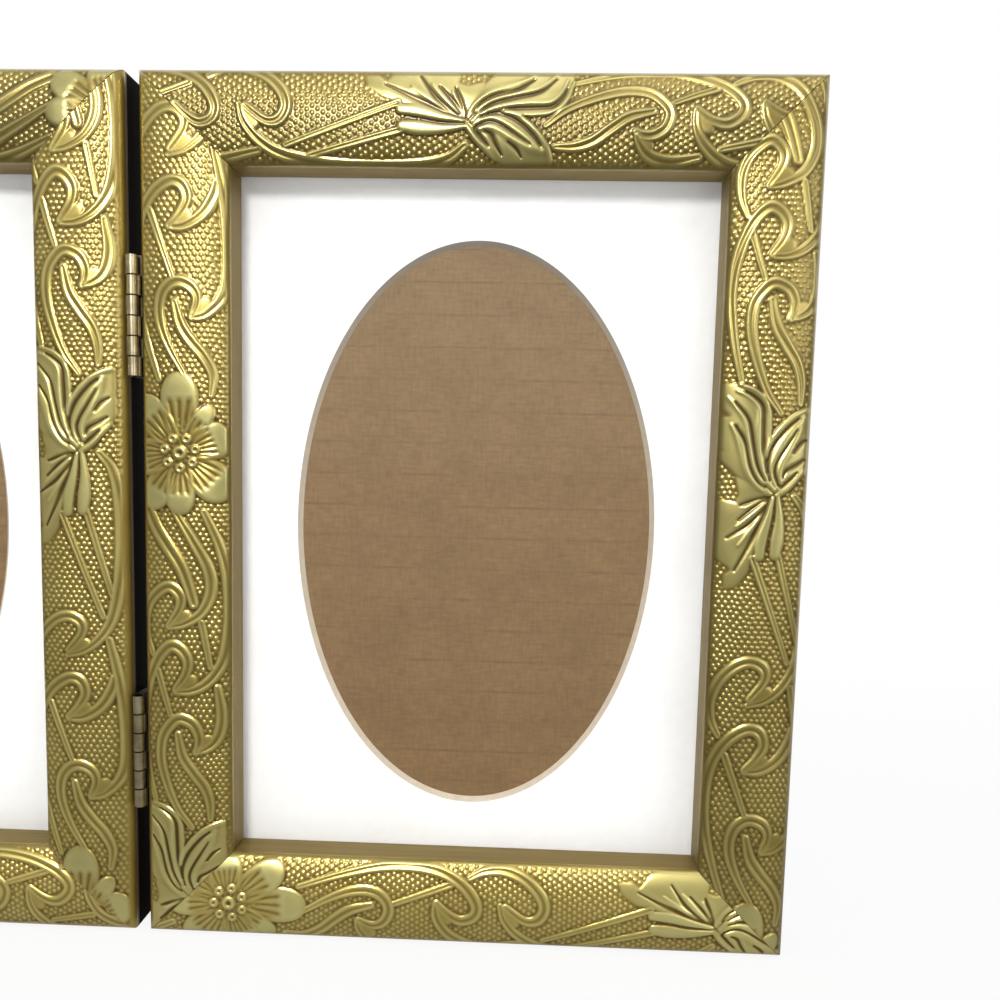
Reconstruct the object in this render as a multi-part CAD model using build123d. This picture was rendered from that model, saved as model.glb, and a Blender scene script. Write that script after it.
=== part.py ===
from build123d import *
import os

# A hinged double photo frame: two alike leaves that open flat and fold face to face like a book.
# X runs along the leaves, Y from front to back and Z up. The hinge axis stands at X = 0.

# Glazing: a standard five by seven inch pane, and what lies behind it
glass_width = 127.0
glass_height = 177.8
glass_thickness = 2.0
mat_thickness = 1.4
card_thickness = 0.8
board_thickness = 3.2
glass_clearance = 0.5

# Oval window of the mat, at its front face, the width of its bevel, and how far it is cut off centre
oval_width = 89.9
oval_height = 141.7
bevel_width = 1.1
window_shift = 0.6
window_drop = 1.35

# Section of the moulding: a shallow dome with a rounded outer shoulder and a rabbet behind the lip
moulding_width = 22.0
rabbet_width = 6.0
lip_depth = 11.85
outer_drop = 2.8
inner_drop = 2.4
shoulder_radius = 2.0
lip_radius = 0.8

# V nails across the back of each mitre
nail_wing = 5.0
nail_thickness = 0.6
nail_height = 8.0
nail_setback = 4.5

# Butt hinges: plates on the sides of the leaves, knuckles in the gap, level with the shoulders
leaf_gap = 3.6
hinge_length = 28.7
knuckle_count = 6
knuckle_gap = 0.16
barrel_radius = 1.25
pin_radius = 0.55
pin_grip = 0.01
pin_clearance = 0.05
plate_thickness = 0.95
plate_reach = 9.0
plate_relief = 1.7
axis_setback = 2.8
upper_hinge_from_top = 56.7
lower_hinge_from_bottom = 47.2

# Countersunk screws of the hinge plates
hinge_screw_radius = 0.9
hinge_screw_head_radius = 1.7
hinge_screw_length = 8.0
hinge_screw_spacing = 17.0

# Turn buttons on the backs of the stiles, and their screws
button_thickness = 1.0
button_round = 4.5
button_tip_round = 2.6
button_reach = 10.5
button_setback = 5.0
button_play = 0.05
button_screw_radius = 1.4
button_screw_head_radius = 2.8
button_screw_crown_radius = 2.1
button_screw_head_height = 1.5
button_screw_length = 10.0
button_hole_clearance = 0.08

# Sizes that follow from the ones above
stack_depth = glass_thickness + mat_thickness + card_thickness + board_thickness
moulding_depth = lip_depth + stack_depth
back_width = moulding_width - rabbet_width
leaf_width = glass_width + 2 * glass_clearance + 2 * back_width
leaf_height = glass_height + 2 * glass_clearance + 2 * back_width
leaf_start = leaf_gap / 2
leaf_end = leaf_start + leaf_width
back_reach = moulding_depth + button_thickness + button_play + button_screw_head_height
crown_y = -back_reach / 2
back_y = crown_y + moulding_depth
ledge_y = crown_y + lip_depth
axis_y = crown_y + axis_setback
middle_x = leaf_start + leaf_width / 2
middle_z = leaf_height / 2
plate_face_x = leaf_start - plate_thickness
knuckle_pitch = hinge_length / knuckle_count
hinge_bottoms = {
    "upper": leaf_height - upper_hinge_from_top - hinge_length / 2,
    "lower": lower_hinge_from_bottom - hinge_length / 2,
}
FROM_BASE = (Align.CENTER, Align.CENTER, Align.MIN)


def moulding_profile():
    """Section of the moulding, across Y and Z, with its outer side at Z = 0."""
    shoulder = (crown_y + outer_drop, 0)
    crown = (crown_y, moulding_width / 2)
    lip = (crown_y + inner_drop, moulding_width)
    dome = ThreePointArc(shoulder, crown, lip)
    wall = Polyline(
        lip,
        (ledge_y, moulding_width),
        (ledge_y, back_width),
        (back_y, back_width),
        (back_y, 0),
        shoulder,
    )
    section = make_face([*dome.edges(), *wall.edges()])
    section = fillet(section.vertices().sort_by_distance(Vector(*shoulder))[0], shoulder_radius)
    return fillet(section.vertices().sort_by_distance(Vector(*lip))[0], lip_radius)


def mitred_length(length):
    """One length of moulding along X, with both ends cut at 45 degrees."""
    bar = extrude(Plane.YZ * moulding_profile(), length)
    outline = Polyline(
        (0, 0),
        (length, 0),
        (length - moulding_width, moulding_width),
        (moulding_width, moulding_width),
        close=True,
    )
    plan = Plane.XZ * make_face(outline)
    return bar & extrude(plan, 2 * moulding_depth, both=True)


def side_places():
    """Length and place of each side, seen as a bottom rail turned about Y."""
    return {
        "bottom_rail": (leaf_width, Pos(leaf_start, 0, 0)),
        "outer_stile": (leaf_height, Pos(leaf_end, 0, 0) * Rot(0, -90, 0)),
        "top_rail": (leaf_width, Pos(leaf_end, 0, leaf_height) * Rot(0, 180, 0)),
        "hinge_stile": (leaf_height, Pos(leaf_start, 0, leaf_height) * Rot(0, 90, 0)),
    }


def corner_nail():
    """V nail at the first corner of a side: its point on the mitre, a wing in each piece of wood."""
    far = nail_setback + nail_wing
    near = nail_setback
    inner = nail_setback + nail_thickness
    outline = Polyline(
        (near, near),
        (far, near),
        (far, inner),
        (inner, inner),
        (inner, far),
        (near, far),
        close=True,
    )
    plan = Plane.XZ.offset(-back_y) * make_face(outline)
    return extrude(plan, nail_height)


def sheet(thickness, front):
    """A flat sheet of the glass's size, with its front face at the given Y."""
    blank = Box(glass_width, thickness, glass_height)
    return Pos(middle_x, front + thickness / 2, middle_z) * blank


def oval_mat(front):
    """Mat board with an oval window that narrows towards the back along its bevel."""
    middle = (middle_x + window_shift, front, middle_z - window_drop)
    wide = Plane(middle, x_dir=(1, 0, 0), z_dir=(0, 1, 0))
    narrow = wide.offset(mat_thickness)
    front_oval = wide * Ellipse(oval_width / 2, oval_height / 2)
    back_oval = narrow * Ellipse(oval_width / 2 - bevel_width, oval_height / 2 - bevel_width)
    return sheet(mat_thickness, front) - loft([front_oval, back_oval])


def hinge_screws(hinge_z):
    """Countersunk screws of one hinge plate, driven along X into the stile."""
    head = Cone(hinge_screw_head_radius, hinge_screw_radius, plate_thickness, align=FROM_BASE)
    shank = Cylinder(hinge_screw_radius, hinge_screw_length, align=FROM_BASE)
    screw = Rot(0, 90, 0) * (head + shank)
    depth = axis_y + (plate_relief + plate_reach) / 2
    middle = hinge_z + hinge_length / 2
    places = [middle - hinge_screw_spacing / 2, middle + hinge_screw_spacing / 2]
    return [Pos(plate_face_x, depth, z) * screw for z in places]


def hinge_plate(hinge_z, first_knuckle, bore_radius, screws):
    """Right-hand plate of a hinge: a flat leaf and every second knuckle, rolled round the pin."""
    leaf_depth = plate_reach - plate_relief
    leaf = Box(plate_thickness, leaf_depth, hinge_length, align=(Align.MAX, Align.MIN, Align.MIN))
    plate = Pos(leaf_start, axis_y + plate_relief, hinge_z) * leaf
    neck_from = barrel_radius / 3
    neck_depth = plate_relief - neck_from
    neck_blank = Rectangle(plate_thickness, neck_depth, align=(Align.MAX, Align.MIN))
    neck = Pos(leaf_start, neck_from) * neck_blank
    roll = Circle(barrel_radius) + neck - Circle(bore_radius)
    knuckle = extrude(roll, knuckle_pitch - knuckle_gap)
    for index in range(first_knuckle, knuckle_count, 2):
        low = hinge_z + index * knuckle_pitch + knuckle_gap / 2
        plate += Pos(0, axis_y, low) * knuckle
    for screw in screws:
        plate -= screw
    return plate


def hinge_pin(hinge_z):
    """Plain pin, as long as the barrel."""
    return Pos(0, axis_y, hinge_z) * Cylinder(pin_radius, hinge_length, align=FROM_BASE)


def turn_button():
    """Teardrop plate with its screw hole at the round end, pointing along +X, flat on the back."""
    outline = Circle(button_round).edges() + (Pos(button_reach, 0) * Circle(button_tip_round)).edges()
    plan = make_hull(outline) - Circle(button_screw_radius + button_hole_clearance)
    return Rot(-90, 0, 0) * extrude(plan, button_thickness)


def button_screw():
    """Pan-head screw driven from the back along -Y, with its seat at the origin."""
    head = Cone(
        button_screw_head_radius,
        button_screw_crown_radius,
        button_screw_head_height,
        align=FROM_BASE,
    )
    shank = Cylinder(button_screw_radius, button_screw_length, align=FROM_BASE)
    return Rot(-90, 0, 0) * (head + Pos(0, 0, -button_screw_length) * shank)


def right_leaf():
    """Every piece that rides with the right leaf, by name without its side."""
    pieces = {name: place * mitred_length(length) for name, (length, place) in side_places().items()}
    nails = [place * corner_nail() for _, place in side_places().values()]
    for name in side_places():
        for nail in nails:
            pieces[name] -= nail
    pieces["corner_v_nails"] = Compound(children=nails)

    mat_front = ledge_y + glass_thickness
    card_front = mat_front + mat_thickness
    pieces["glass"] = sheet(glass_thickness, ledge_y)
    pieces["mat"] = oval_mat(mat_front)
    pieces["kraft_card"] = sheet(card_thickness, card_front)
    pieces["back_board"] = sheet(board_thickness, card_front + card_thickness)

    pivot = back_width - button_setback
    turns = {
        "hinge_side_turn_button": Pos(leaf_start + pivot, back_y, middle_z),
        "outer_turn_button": Pos(leaf_end - pivot, back_y, middle_z) * Rot(0, 180, 0),
    }
    seat = Pos(0, button_thickness + button_play, 0)
    button_screws = [place * seat * button_screw() for place in turns.values()]
    for name, place in turns.items():
        pieces[name] = place * turn_button()
    pieces["hinge_stile"] -= button_screws[0]
    pieces["outer_stile"] -= button_screws[1]
    pieces["turn_button_screws"] = Compound(children=button_screws)

    plate_screws = [screw for low in hinge_bottoms.values() for screw in hinge_screws(low)]
    for screw in plate_screws:
        pieces["hinge_stile"] -= screw
    pieces["hinge_screws"] = Compound(children=plate_screws)
    return pieces


def write(name, shape):
    """One STEP file for one named piece."""
    export_step(shape, f"parts/{name}.step")


os.makedirs("parts", exist_ok=True)
for name, piece in right_leaf().items():
    write(f"right_{name}", piece)
    write(f"left_{name}", mirror(piece, about=Plane.YZ))

for level, low in hinge_bottoms.items():
    screws = hinge_screws(low)
    right_plate = hinge_plate(low, 0, pin_radius + pin_grip, screws)
    left_plate = hinge_plate(low, 1, pin_radius + pin_clearance, screws)
    write(f"right_{level}_hinge_plate", right_plate)
    write(f"left_{level}_hinge_plate", mirror(left_plate, about=Plane.YZ))
    write(f"{level}_hinge_pin", hinge_pin(low))

print("leaf", leaf_width, "x", leaf_height, "x", moulding_depth, "hinge axis at Y", round(axis_y, 3))
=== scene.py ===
# %% [markdown]
# # A hinged double photo frame with embossed gilt mouldings
# Two alike wooden leaves stand side by side and fold like a book on two small butt hinges.
# The solid model already has every part in place, so this lesson only dresses it: we load it as a
# fixed frame, look at it through the photograph's camera, and then build each visible surface.

# %% Load the fixed frame
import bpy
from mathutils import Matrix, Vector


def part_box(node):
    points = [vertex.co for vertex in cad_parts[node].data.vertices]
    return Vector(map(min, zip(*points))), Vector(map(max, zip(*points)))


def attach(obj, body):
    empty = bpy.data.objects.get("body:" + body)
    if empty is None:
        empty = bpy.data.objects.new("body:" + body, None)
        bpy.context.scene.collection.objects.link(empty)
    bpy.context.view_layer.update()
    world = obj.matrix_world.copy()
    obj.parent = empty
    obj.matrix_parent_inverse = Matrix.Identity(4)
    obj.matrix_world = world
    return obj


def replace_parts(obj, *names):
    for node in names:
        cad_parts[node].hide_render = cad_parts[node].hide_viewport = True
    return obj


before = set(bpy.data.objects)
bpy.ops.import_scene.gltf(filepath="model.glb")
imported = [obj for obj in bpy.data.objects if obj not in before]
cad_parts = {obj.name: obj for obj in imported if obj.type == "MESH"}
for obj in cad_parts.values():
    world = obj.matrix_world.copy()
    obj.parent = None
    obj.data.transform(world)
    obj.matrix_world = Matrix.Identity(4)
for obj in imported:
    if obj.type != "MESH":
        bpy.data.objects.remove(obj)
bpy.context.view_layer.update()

# %% [markdown]
# ## The camera
# The photograph was taken from close by, a little above and right of the hinge line. Its place was
# worked out from the corners of the mouldings, whose real sizes are known. A wide lens and a small
# shift give the same lines: the right leaf fills the picture, and the left one runs out of it.

# %% Camera
import math
import bpy

scene = bpy.context.scene
scene.view_settings.view_transform = "Standard"
photo_lens = bpy.data.cameras.new("photo_camera")
photo_lens.lens = 35.732
photo_lens.sensor_width = 36.0
photo_lens.shift_x = 0.0182
photo_lens.shift_y = 0.0609
photo_lens.clip_start = 0.01
photo_lens.clip_end = 60.0
photo_camera = bpy.data.objects.new("photo_camera", photo_lens)
photo_camera.location = (0.09445, -0.2464, 0.12297)
photo_camera.rotation_euler = [math.radians(turn) for turn in (83.874, -1.274, 2.449)]
scene.collection.objects.link(photo_camera)
scene.camera = photo_camera
print("camera at", tuple(photo_camera.location))

# %% [markdown]
# ## Sizes taken from the solid model
# Every surface below sits where the solid one is, so the sizes are read from the parts' boxes
# instead of being typed again. Lengths are in metres, and MM turns a length in millimetres into them.

# %% Sizes of the leaf and its moulding
import numpy as np

MM = 0.001
LEAVES = ("right", "left")


def box_mm(node):
    """A node's lowest and highest corners in millimetres."""
    return [np.array(corner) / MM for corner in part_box(node)]


leaf_low, leaf_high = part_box("right_hinge_stile")
leaf_left = leaf_low.x
leaf_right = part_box("right_outer_stile")[1].x
leaf_width = leaf_right - leaf_left
leaf_height = leaf_high.z
moulding_width = leaf_high.x - leaf_low.x
rabbet_width = 6.0 * MM
crown_y = leaf_low.y
back_y = leaf_high.y
ledge_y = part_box("right_glass")[0].y
print("leaf", leaf_width / MM, "by", leaf_height / MM, "moulding", moulding_width / MM)

# %% [markdown]
# ## The embossed roll
# On the real frame a heated steel roll presses the same ornament into the whole length of the
# moulding before it is cut: scrolling double tendrils, a wild rose and a spray of leaves, on a ground
# of small pebbles. We make the roll too: one sheet of heights, p along the moulding and q across it,
# in millimetres. Each side of the frame then reads its own stretch of the sheet. A painted texture
# could not be seen from the side and would not catch the light, so the ornament is real relief.

# %% A blank roll
ROLL_LENGTH, ROLL_CELLS = 230.8, 1440
ROLL_STEP = ROLL_LENGTH / ROLL_CELLS
roll_q = np.arange(-9.0, 31.0, ROLL_STEP)
motif = np.zeros((len(roll_q), ROLL_CELLS), np.float32)
print("roll of", motif.shape, "cells,", round(ROLL_STEP, 3), "mm each")


# %% Strokes on the roll
def smooth_curve(points, spacing=0.8):
    """Points along a curve through the given ones, each stretch a cubic blend of its four neighbours."""
    ctrl = np.asarray(points, float)
    length = np.hypot(*np.diff(ctrl[:, :2], axis=0).T).sum()
    ends = np.vstack([2 * ctrl[0] - ctrl[1], ctrl, 2 * ctrl[-1] - ctrl[-2]])
    t = np.linspace(0, len(ctrl) - 1, max(8, int(length / spacing)))
    i = np.minimum(t.astype(int), len(ctrl) - 2)
    f = (t - i)[:, None]
    a, b, c, d = ends[i], ends[i + 1], ends[i + 2], ends[i + 3]
    return 0.5 * (2 * b + (c - a) * f + (2 * a - 5 * b + 4 * c - d) * f**2 + (3 * b - a - 3 * c + d) * f**3)


def window(p_low, p_high, q_low, q_high):
    """The rows and columns of the roll that cover a patch, and the grid of their p and q."""
    cols = np.arange(math.floor(p_low / ROLL_STEP), math.ceil(p_high / ROLL_STEP))
    rows = np.flatnonzero((roll_q >= q_low) & (roll_q <= q_high))
    p, q = np.meshgrid(cols * ROLL_STEP, roll_q[rows])
    return np.ix_(rows, cols % motif.shape[1]), p.astype(np.float32), q.astype(np.float32)


def press(points, half_widths, section, at=0.0, over=False):
    """Raises a stroke by its section, a function of the distance from the curve in half widths."""
    ctrl = np.asarray(points, float) + (at, 0.0)
    widths = np.interp(np.linspace(0, 1, len(ctrl)), np.linspace(0, 1, len(half_widths)), half_widths)
    line = smooth_curve(np.column_stack([ctrl, widths])).astype(np.float32)
    reach = 1.5 * max(half_widths)
    low, high = line.min(axis=0) - reach, line.max(axis=0) + reach
    cells, p, q = window(low[0], high[0], low[1], high[1])
    step = np.diff(line, axis=0)
    dp = p[..., None] - line[:-1, 0]
    dq = q[..., None] - line[:-1, 1]
    run = np.clip((dp * step[:, 0] + dq * step[:, 1]) / (step[:, 0] ** 2 + step[:, 1] ** 2), 0, 1)
    gap = np.hypot(dp - run * step[:, 0], dq - run * step[:, 1])
    share = (gap / np.maximum(line[:-1, 2] + run * step[:, 2], 0.05)).min(axis=-1)
    if over:
        # Added, and only on what is already raised
        motif[cells] += section(share) * (motif[cells] > 0.08)
    else:
        motif[cells] = np.maximum(motif[cells], section(share))


# %% [markdown]
# ### Tendrils
# A tendril is two round ridges with a smooth channel between them. It arches over, curls back to a point,
# and a new tail springs from the point; a smooth web fills the fork. The curves were drawn over
# the straightened photograph, as a roll engraver would draw them: a few points each, smoothly joined.


# %% Tendrils after the spray of leaves
def tendril(share):
    """Two round strands side by side, bells in section at 0.62 of the half width, on a low body."""
    body = 0.5 - 0.5 * np.tanh(5 * (share - 1.05))
    return 0.16 * body + 0.25 * np.exp(-(((share - 0.64) / 0.28) ** 2))


def web(share):
    """A low plate with a soft edge at the half width."""
    return 0.30 * (0.5 - 0.5 * np.tanh(4 * (share - 0.9)))


def press_tendrils(curves, forks, at):
    """Presses the curves as tendrils and fills each fork between two of them with a web."""
    for curve in curves:
        press(curve, (0.6, 1.15, 1.35, 1.35, 0.8), tendril, at)
    for fork in forks:
        press(fork, (0.8, 1.9, 1.5), web, at)


LEAF_AT = 0.0
FLOWER_AT = 111.3
after_leaf = [
    [(25, 2.6), (34.7, 0.6), (45, -0.4), (53.5, 0.6), (60.3, 3.2), (63.8, 6.4), (63.4, 9), (60.8, 10.9),
     (57.6, 10.4), (54, 7.9)],
    [(18.2, 11.6), (23.2, 8.2), (29.8, 5.7), (36.5, 4.2), (42.3, 4.5), (46.1, 6.7), (47.5, 9), (46.3, 11.9),
     (43.6, 13.4), (41, 13.4), (39.2, 12.7)],
    [(20.4, 16), (25.2, 15.9), (29.4, 14.7), (33.6, 12), (37.8, 9.6), (43.6, 8.4)],
    [(39.2, 12.9), (40.2, 15.2), (42, 17.2), (45, 18.4), (49, 18.7), (54.6, 17.8)],
    [(48.4, 6.6), (58.2, 3.5)],
    [(53.5, 8), (53.8, 11.5), (55.4, 15), (58.4, 17.8), (62.5, 19.6), (70, 20.6), (80, 20.3), (88.6, 18.4),
     (97, 15)],
    [(62, 2.3), (66, 0.8), (71, 0.6), (75, 2.1), (77.8, 5), (78.2, 7.2), (76, 9.3), (73, 9.1), (68.5, 6.4)],
    [(68.2, 6.6), (69.2, 10.2), (72, 14.2), (77, 16.4), (83, 15.8), (90.3, 12.1), (97, 8.2)],
    [(59.3, 16.2), (69.6, 14.2)],
]
leaf_forks = [[(54.2, 8.6), (56.2, 11.8)], [(39.8, 13.4), (42.2, 15.6)], [(68.9, 7.2), (71.2, 10.4)]]
press_tendrils(after_leaf, leaf_forks, LEAF_AT)
broad_tail = [(74.2, 12.5), (78.8, 11.2), (83.6, 9.4), (88.6, 6.3), (92.8, 3.7), (97.5, 1.6)]
press(broad_tail, (1.1, 1.5, 1.6, 1.4), tendril, LEAF_AT)
print("tendrils after the leaves", len(after_leaf) + 1)

# %% Tendrils after the rose
after_rose = [
    [(17.6, 4.7), (27.2, 1.7), (37.2, -0.6), (46, -1.1), (53.5, 0.1), (59, 3.2), (62, 7.4), (61.4, 10.4),
     (58.3, 11.6), (55, 10), (52.2, 7.4)],
    [(18.6, 10.9), (24.6, 7.6), (29.6, 5.6), (34, 4.9), (37.6, 5.7), (39.8, 7.8), (40.2, 10.2), (38.8, 12.8),
     (36.2, 13.8), (32.5, 12.5)],
    [(14, 16.8), (18.8, 17.2), (23, 15.4), (26.8, 12.4), (30.6, 10), (35.8, 8.6)],
    [(32.2, 12.6), (33.2, 15.8), (36.5, 19), (41, 20.5), (50, 20.6), (60.5, 19.5), (72.3, 17.2)],
    [(41, 8.2), (55.7, 2.8)],
    [(51.8, 7.4), (52.3, 11.2), (55, 15.2), (59, 17.6), (62.2, 18.2)],
    [(60.2, 1.2), (63.7, -0.4), (68.7, -0.8), (73.7, 1), (77.4, 4.4), (78.6, 7.8), (77, 10.7), (73.8, 11),
     (69.2, 7.8)],
    [(67.8, 7.4), (69, 11.2), (72.3, 15), (77.3, 17.8), (86, 19.6), (96, 20.3), (108, 20), (115, 18.5),
     (119, 15.8)],
    [(78.4, 16.1), (104, 6.9)],
    [(83.6, 18.2), (106, 12.3)],
]
rose_forks = [[(52.6, 8.2), (54.8, 11.4)], [(33, 13.2), (35.6, 15.8)], [(68.8, 8.2), (71.2, 11.6)]]
press_tendrils(after_rose, rose_forks, FLOWER_AT)
print("tendrils after the rose", len(after_rose))

# %% [markdown]
# ### The spray of leaves
# Four broad blades and two fingers spread from one node. A blade is a smooth plate inside a given
# outline. Folds run over it from the node: rounded ridges that catch the light, and grooves beside them
# that stay brown.


# %% Leaves
def blurred(sheet, radius):
    """The sheet averaged with a bell curve of that radius in millimetres, by way of its spectrum."""
    f_q = np.fft.fftfreq(sheet.shape[0], ROLL_STEP)[:, None]
    f_p = np.fft.fftfreq(sheet.shape[1], ROLL_STEP)[None, :]
    bell = np.exp(-2 * (np.pi * radius) ** 2 * (f_q**2 + f_p**2))
    return np.fft.ifft2(np.fft.fft2(sheet) * bell).real


def blade(outline, height, at):
    """A low cushion inside an outline; a cell is inside when its ray crosses the outline an odd count."""
    ring = np.asarray(outline + outline[:1], float) + (at, 0.0)
    low, high = ring.min(axis=0) - 1, ring.max(axis=0) + 1
    cells, p, q = window(low[0], high[0], low[1], high[1])
    inside = np.zeros(p.shape, bool)
    for (p0, q0), (p1, q1) in zip(ring[:-1], ring[1:]):
        if q0 != q1:
            inside ^= ((q0 > q) != (q1 > q)) & (p < p0 + (q - q0) * (p1 - p0) / (q1 - q0))
    plate = np.zeros(motif.shape)
    plate[cells] = inside
    leafy[cells] |= inside
    edge = np.sqrt(np.clip(2 * blurred(plate, 0.4) - 0.7, 0, 1))
    dome = np.clip(1.7 * blurred(plate, 1.7) - 0.6, 0, 1)
    np.maximum(motif, height * (0.6 * edge + 0.7 * dome), out=motif)


def fold(share):
    """A round ridge, a bell in section."""
    return 0.30 * np.exp(-((share / 0.62) ** 2))


def furrow(share):
    """A narrow groove, the same bell turned down."""
    return -0.36 * np.exp(-((share / 0.62) ** 2))


def plain_finger(share):
    """A round back, as high as a circle over its half width."""
    return 0.52 * np.clip(1 - share**2, 0, 1) ** 0.5


# %% Outlines of the blades
leafy = np.zeros(motif.shape, bool)
left_blade = [
    (-0.4, 10.6), (-8, 8.6), (-14, 7.2), (-19, 5.8), (-22.6, 3.4), (-23.4, 0.8), (-20, 0.6), (-18.4, 2.4),
    (-16, -0.8), (-12, -3), (-4, -3), (-1.4, -0.8), (-2.2, 2.8), (-1.2, 6.4),
]
right_blade = [
    (-0.2, 10.5), (1.6, 5.2), (4.8, 1.6), (8.2, -1.8), (9.4, -2.4), (9.7, 0.2), (10.6, -1.8), (12.4, -3),
    (16.8, -3), (17.4, 1.0), (18.8, -0.8), (22.2, -3), (24.6, -3), (24.8, 2.6), (23.8, 5.6), (22, 7.9),
    (19, 9.4), (14.6, 9.7), (10, 9.0), (5, 9.0), (1.2, 10.9),
]
lower_blade = [
    (-0.4, 10.6), (1.6, 10.7), (4, 8.9), (8.6, 8.2), (12.4, 9.4), (15.4, 11.4), (17.8, 13.8), (19.4, 16.4),
    (20.4, 19.4), (8.6, 19.6), (5, 17.8), (1.6, 15), (-0.6, 12.6),
]
middle_blade = [
    (-0.4, 10.8), (-2.6, 6.2), (-5.4, 3.0), (-3.0, 2.2), (-0.2, 3.2), (2.6, 2.4), (5.2, 2.2), (3.4, 6.2),
    (1, 10.6),
]
blades = ((left_blade, 0.24), (right_blade, 0.26), (lower_blade, 0.28), (middle_blade, 0.26))
for outline, height in blades:
    blade(outline, height, LEAF_AT)
print("blades", len(blades))

# %% Folds of the leaves
left_folds = [
    [(-2.2, 9), (-5, 6.2), (-8, 3)], [(-3, 9.6), (-7, 7.2), (-12.5, 3.6)], [(-1.4, 8), (-3.4, 4.6)],
]
right_folds = [
    [(-0.2, 9.8), (1.5, 7.4), (3.4, 5.7), (5.9, 4.3), (9.8, 3.1), (13.2, 2), (15.6, 0.8)],
    [(0, 10.4), (1.7, 8.6), (4.4, 6.8), (8.6, 5.4), (13.5, 4.5), (16.9, 3.6), (19.8, 1.5), (21.8, -0.2)],
    [(0.8, 10.8), (3, 9.1), (6.1, 7.9), (9.8, 7.3), (14.7, 6.8), (19.3, 6.7), (21.8, 4.5), (23.2, 1.8)],
    [(8.6, 8.9), (12.2, 9.4), (15.9, 9.4), (19.1, 9), (22, 7.5), (23.7, 5.2), (24.6, 2.2)],
]
lower_folds = [
    [(1.1, 11), (3.7, 9.2), (8.6, 8.5), (12.2, 9.8), (15.2, 11.8), (17.5, 14), (19, 16.9), (19.6, 18.9)],
    [(1.7, 11.7), (3.4, 10.5), (5.9, 10.1), (8.8, 11.2), (12.2, 13.3), (14.7, 15), (16.4, 16.3)],
    [(2.5, 12.5), (4.9, 12), (7.4, 12.6), (11, 14.7), (14.2, 16.2), (17.6, 17)],
    [(-0.5, 11.3), (0.3, 12.5), (2.2, 14.7), (4.9, 17.2), (6.4, 18.9)],
]
furrows = [
    [(1.5, 8.9), (3.4, 6.9), (6.4, 5.4), (11.3, 4.2), (15.4, 1.8)],
    [(3, 8.9), (6.4, 6.9), (11.3, 5.7), (16.7, 4.5), (20.6, 1.5)],
    [(4.9, 9.1), (9.8, 8.1), (15.9, 7.9), (19.8, 7.4), (22, 5.4), (23, 3.7)],
    [(3, 9.8), (6.1, 9.2), (8.8, 9.4), (12.2, 11.1), (15.4, 13.7), (17.1, 15.7)],
    [(2.2, 11.7), (4.9, 10.8), (7.4, 11.3), (11, 13.3), (14.7, 15.5)],
    [(2, 11.8), (1.9, 12.8), (3.4, 14.5), (4.9, 15.9)], [(3.9, 12.8), (5.4, 13.5), (6.4, 15.2), (8.1, 17.7)],
    [(9.6, 15), (11.3, 16.2), (12.7, 18.1)],
    [(-0.7, 10.1), (-2.4, 7.6), (-6.3, 3.4)], [(-0.5, 9.6), (-1.7, 6.2), (-2.7, 3.7)],
    [(-1, 10.3), (-4.1, 8.4), (-7.3, 5.7), (-10.7, 1)],
    [(-1.4, 10.4), (-6.1, 8.2), (-12.2, 5.9), (-18.6, 2.9)],
]
for curves, half_widths, section in (
    (left_folds + right_folds, (0.5, 0.75, 0.75, 0.4), fold),
    (lower_folds, (0.6, 1.0, 1.1, 0.7), fold),
    (furrows, (0.5, 0.9, 0.95, 0.4), furrow),
):
    for curve in curves:
        press(curve, half_widths, section, LEAF_AT, over=True)
spray_fingers = [
    ([(-0.8, 10.8), (-6, 9.9), (-11, 8.7), (-15, 8.3)], (0.4, 0.9, 1.3, 1.2)),
    ([(-0.4, 11.9), (-6, 12.5), (-11, 12.3), (-14.6, 11.9)], (0.5, 1.1, 1.6, 1.3)),
]
for curve, half_widths in spray_fingers:
    press(curve, half_widths, plain_finger, LEAF_AT)
print("folds", len(left_folds + right_folds + lower_folds), "grooves", len(furrows))

# %% [markdown]
# ### The wild rose
# Eight overlapping petal lobes stand round a ring of seven small cups with a larger one in the middle.
# Each petal is cupped: it rises from the middle to a smooth, rounded rim, and pleats lie in its hollow.


# %% Petals and cups
def petal(dp, dq, angle, length, half_width):
    """Height of a lobe: its half width grows as a sine to 0.6 of its length, then closes in a full round."""
    turn = math.radians(angle)
    out = dp * math.cos(turn) + dq * math.sin(turn)
    side = dq * math.cos(turn) - dp * math.sin(turn)
    reach = np.clip(out / length, 0, 1)
    rising = 0.2 + 0.8 * np.sin(np.pi / 2 * np.clip(reach / 0.6, 0, 1))
    closing = np.sqrt(np.clip(1 - (np.clip(reach - 0.6, 0, 1) / 0.4) ** 2.6, 0, 1))
    inside = np.clip(1 - np.abs(side) / np.maximum(half_width * rising * closing, 0.01), 0, 1)
    rim = np.clip(inside / 0.42, 0, 1)
    pleats = 0.5 + 0.5 * np.cos((np.arctan2(dq, dp) - turn) * 36)
    fade = np.clip((0.71 - reach) / 0.08, 0, 1) * np.clip((inside - 0.22) / 0.14, 0, 1)
    pillow = np.sqrt(np.clip(1 - (np.clip(reach - 0.62, 0, 1) / 0.40) ** 2, 0, 1))
    height = 0.12 + 0.52 * np.clip((reach - 0.25) / 0.6, 0, 1) - (0.08 + 0.20 * pleats) * fade
    return np.where((out > 0) & (out < length), height * pillow * np.sqrt(rim * (2 - rim)), 0)


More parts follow.
